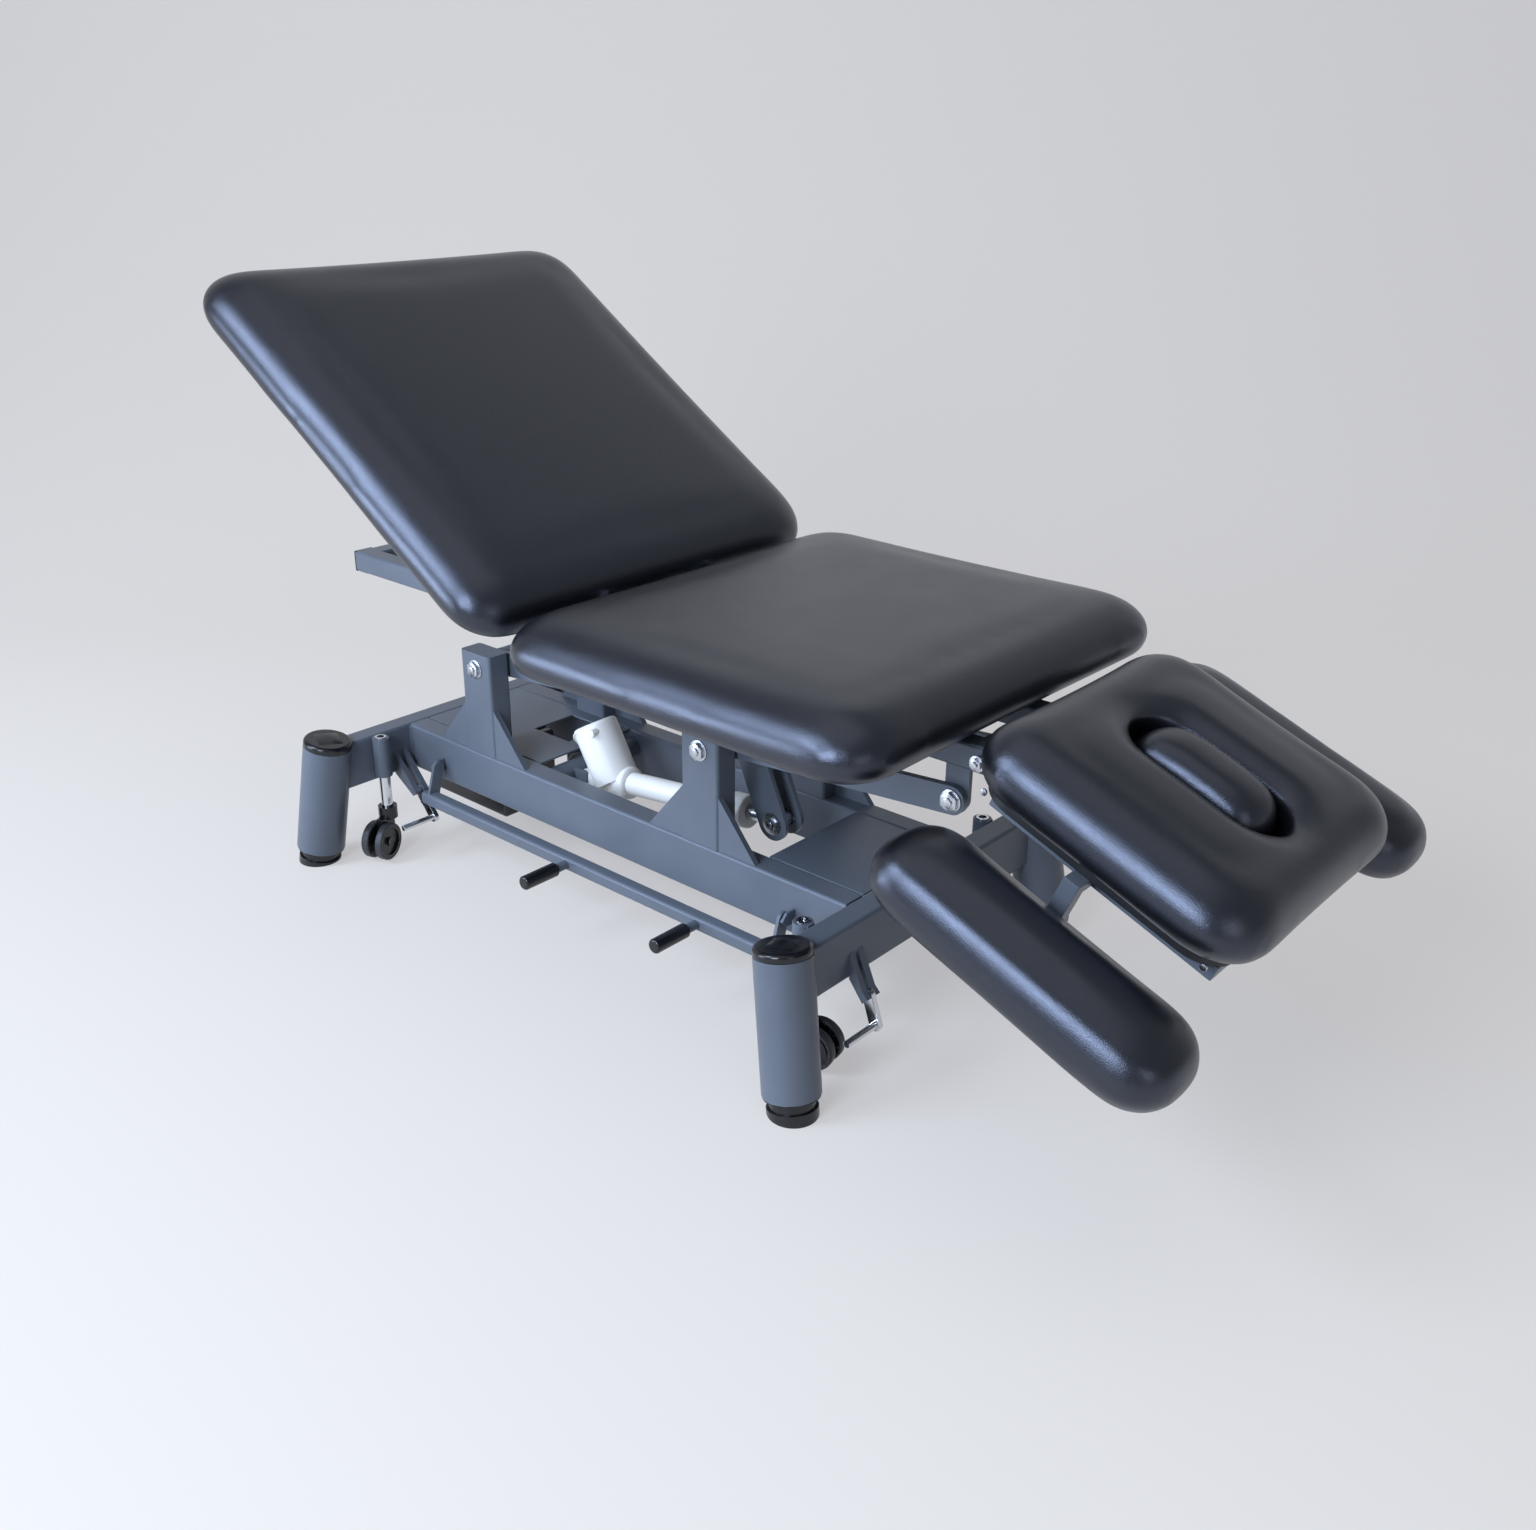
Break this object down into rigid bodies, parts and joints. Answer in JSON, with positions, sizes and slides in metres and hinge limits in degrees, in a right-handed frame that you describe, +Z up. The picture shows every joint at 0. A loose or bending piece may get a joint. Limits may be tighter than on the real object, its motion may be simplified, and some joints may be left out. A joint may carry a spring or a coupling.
{
  "type": "treatment table",
  "caption": "Padded treatment table with tilting back and head sections, drop armrests, parallel-arm lift, splayed legs and retractable castors.",
  "frame": {"origin": "floor point under the middle of the whole table's box", "axes": "+X towards the head end, +Y across, +Z up"},
  "size_m": [1.9286, 0.828, 1.0861],
  "materials": {
    "powder_coat": "satin powder coat",
    "vinyl": "fine grain upholstery vinyl",
    "board": "black-stained plywood",
    "black_plastic": "moulded black plastic",
    "white_plastic": "moulded white plastic",
    "zinc": "zinc-plated steel",
    "chrome": "bright chrome",
    "wheel": "black polyurethane"
  },
  "bodies": {
    "base": {"near_rail": "powder_coat", "far_rail": "powder_coat", "back_beam": "powder_coat", "head_beam": "powder_coat", "near_back_leg": "powder_coat", "far_back_leg": "powder_coat", "near_head_leg": "powder_coat", "far_head_leg": "powder_coat", "leg_caps": "black_plastic", "leg_feet": "black_plastic", "near_back_post": "powder_coat", "far_back_post": "powder_coat", "near_head_post": "powder_coat", "far_head_post": "powder_coat", "lift_pivot_bolts": "zinc", "base_sheets": "powder_coat", "control_box": "black_plastic", "castor_sockets": "powder_coat", "pedal_brackets": "powder_coat", "foot_bar_lugs": "powder_coat", "drive_mount": "powder_coat"},
    "back_arms": {"back_lift_arms": "powder_coat"},
    "head_arms": {"head_lift_arms": "powder_coat"},
    "top_frame": {"upper_frame": "powder_coat", "seat_board": "board", "seat_pad": "vinyl"},
    "back_section": {"back_pad": "vinyl", "back_board": "board", "back_brackets": "powder_coat"},
    "head_section": {"head_pad": "vinyl", "head_board": "board", "head_frame": "powder_coat"},
    "plug": {"face_plug": "vinyl"},
    "near_armrest": {"near_armrest_pad": "vinyl", "near_armrest_bracket": "powder_coat"},
    "far_armrest": {"far_armrest_pad": "vinyl", "far_armrest_bracket": "powder_coat"},
    "near_bar": {"near_foot_bar": "powder_coat", "near_peg_grips": "black_plastic"},
    "far_bar": {"far_foot_bar": "powder_coat", "far_peg_grips": "black_plastic"},
    "back_pedal": {"back_castor_pedal": "chrome"},
    "head_pedal": {"head_castor_pedal": "chrome"},
    "drive": {"drive_motor": "white_plastic", "drive_tube": "white_plastic"},
    "push_rod": {"drive_rod": "zinc"},
    "near_back_stem": {"near_back_castor_stem": "chrome"},
    "near_back_yoke": {"near_back_castor_yoke": "black_plastic"},
    "near_back_wheels": {"near_back_castor_wheels": "wheel"},
    "far_back_stem": {"far_back_castor_stem": "chrome"},
    "far_back_yoke": {"far_back_castor_yoke": "black_plastic"},
    "far_back_wheels": {"far_back_castor_wheels": "wheel"},
    "near_head_stem": {"near_head_castor_stem": "chrome"},
    "near_head_yoke": {"near_head_castor_yoke": "black_plastic"},
    "near_head_wheels": {"near_head_castor_wheels": "wheel"},
    "far_head_stem": {"far_head_castor_stem": "chrome"},
    "far_head_yoke": {"far_head_castor_yoke": "black_plastic"},
    "far_head_wheels": {"far_head_castor_wheels": "wheel"}
  },
  "joints": [
    {"name": "lift", "type": "hinge", "parent": "base", "child": "back_arms", "pos_m": [-0.5483, 0, 0.406], "axis": [0, -1, 0], "range_deg": [0, 44]},
    {"name": "head_arm_turn", "type": "hinge", "parent": "base", "child": "head_arms", "pos_m": [0.0057, 0, 0.406], "axis": [0, -1, 0], "range_deg": [0, 44]},
    {"name": "frame_level", "type": "hinge", "parent": "back_arms", "child": "top_frame", "pos_m": [-0.10374, 0, 0.44177], "axis": [0, -1, 0], "range_deg": [-44, 0]},
    {"name": "drive_tilt", "type": "hinge", "parent": "base", "child": "drive", "pos_m": [-0.3893, -0.03, 0.206], "axis": [0, -1, 0], "range_deg": [0, 7.9]},
    {"name": "drive_stroke", "type": "slide", "parent": "drive", "child": "push_rod", "axis": [0.9927, 0, 0.1208], "range_m": [0, 0.0976]},
    {"name": "back_tilt", "type": "hinge", "parent": "top_frame", "child": "back_section", "pos_m": [-0.2093, 0, 0.599], "axis": [0, 1, 0], "range_deg": [-32.8, 27.2]},
    {"name": "head_tilt", "type": "hinge", "parent": "top_frame", "child": "head_section", "pos_m": [0.4967, 0, 0.516], "axis": [0, -1, 0], "range_deg": [-36, 27]},
    {"name": "near_armrest_lift", "type": "slide", "parent": "head_section", "child": "near_armrest", "axis": [0.3746, 0, 0.9272], "range_m": [0, 0.1]},
    {"name": "far_armrest_lift", "type": "slide", "parent": "head_section", "child": "far_armrest", "axis": [0.3746, 0, 0.9272], "range_m": [-0.05, 0.05]},
    {"name": "plug_lift", "type": "slide", "parent": "head_section", "child": "plug", "axis": [0.3746, 0, 0.9272], "range_m": [0, 0.12]},
    {"name": "near_foot_bar_rock", "type": "hinge", "parent": "base", "child": "near_bar", "pos_m": [-0.2293, -0.176, 0.186], "axis": [1, 0, 0], "range_deg": [-8, 8], "stiffness_Nm_per_rad": 20},
    {"name": "far_foot_bar_rock", "type": "hinge", "parent": "base", "child": "far_bar", "pos_m": [-0.2293, 0.176, 0.186], "axis": [1, 0, 0], "range_deg": [-8, 8], "stiffness_Nm_per_rad": 20},
    {"name": "near_back_castor_drop", "type": "slide", "parent": "base", "child": "near_back_stem", "axis": [0, 0, -1], "range_m": [0, 0.02]},
    {"name": "near_back_castor_swivel", "type": "hinge", "parent": "near_back_stem", "child": "near_back_yoke", "pos_m": [-0.7493, -0.236, 0.1215], "axis": [0, 0, 1], "continuous": true},
    {"name": "near_back_wheel_spin", "type": "hinge", "parent": "near_back_yoke", "child": "near_back_wheels", "pos_m": [-0.73855, -0.26401, 0.039], "axis": [0.9336, 0.3584, 0], "continuous": true},
    {"name": "far_back_castor_drop", "type": "slide", "parent": "base", "child": "far_back_stem", "axis": [0, 0, -1], "range_m": [0, 0.02]},
    {"name": "far_back_castor_swivel", "type": "hinge", "parent": "far_back_stem", "child": "far_back_yoke", "pos_m": [-0.7493, 0.236, 0.1215], "axis": [0, 0, 1], "continuous": true},
    {"name": "far_back_wheel_spin", "type": "hinge", "parent": "far_back_yoke", "child": "far_back_wheels", "pos_m": [-0.72332, 0.251, 0.039], "axis": [-0.5, 0.866, 0], "continuous": true},
    {"name": "back_pedal_press", "type": "hinge", "parent": "base", "child": "back_pedal", "pos_m": [-0.7133, -0.185, 0.128], "axis": [0, 1, 0], "range_deg": [0, 20]},
    {"name": "near_head_castor_drop", "type": "slide", "parent": "base", "child": "near_head_stem", "axis": [0, 0, -1], "range_m": [0, 0.02]},
    {"name": "near_head_castor_swivel", "type": "hinge", "parent": "near_head_stem", "child": "near_head_yoke", "pos_m": [0.2907, -0.236, 0.1215], "axis": [0, 0, 1], "continuous": true},
    {"name": "near_head_wheel_spin", "type": "hinge", "parent": "near_head_yoke", "child": "near_head_wheels", "pos_m": [0.32024, -0.23079, 0.039], "axis": [-0.1736, 0.9848, 0], "continuous": true},
    {"name": "far_head_castor_drop", "type": "slide", "parent": "base", "child": "far_head_stem", "axis": [0, 0, -1], "range_m": [0, 0.02]},
    {"name": "far_head_castor_swivel", "type": "hinge", "parent": "far_head_stem", "child": "far_head_yoke", "pos_m": [0.2907, 0.236, 0.1215], "axis": [0, 0, 1], "continuous": true},
    {"name": "far_head_wheel_spin", "type": "hinge", "parent": "far_head_yoke", "child": "far_head_wheels", "pos_m": [0.31528, 0.21879, 0.039], "axis": [0.5736, 0.8192, 0], "continuous": true},
    {"name": "head_pedal_press", "type": "hinge", "parent": "base", "child": "head_pedal", "pos_m": [0.3777, -0.185, 0.128], "axis": [0, 1, 0], "range_deg": [0, 20]}
  ],
  "couplings": [
    {"joint": "head_arm_turn", "follows": "lift", "ratio": 1},
    {"joint": "frame_level", "follows": "lift", "ratio": -1},
    {"joint": "drive_tilt", "follows": "lift", "ratio": 0.17506},
    {"joint": "drive_stroke", "follows": "lift", "m_per_rad": 0.12577},
    {"joint": "far_back_castor_drop", "follows": "near_back_castor_drop", "ratio": 1},
    {"joint": "back_pedal_press", "follows": "near_back_castor_drop", "rad_per_m": 17.453},
    {"joint": "far_head_castor_drop", "follows": "near_head_castor_drop", "ratio": 1},
    {"joint": "head_pedal_press", "follows": "near_head_castor_drop", "rad_per_m": 17.453}
  ]
}
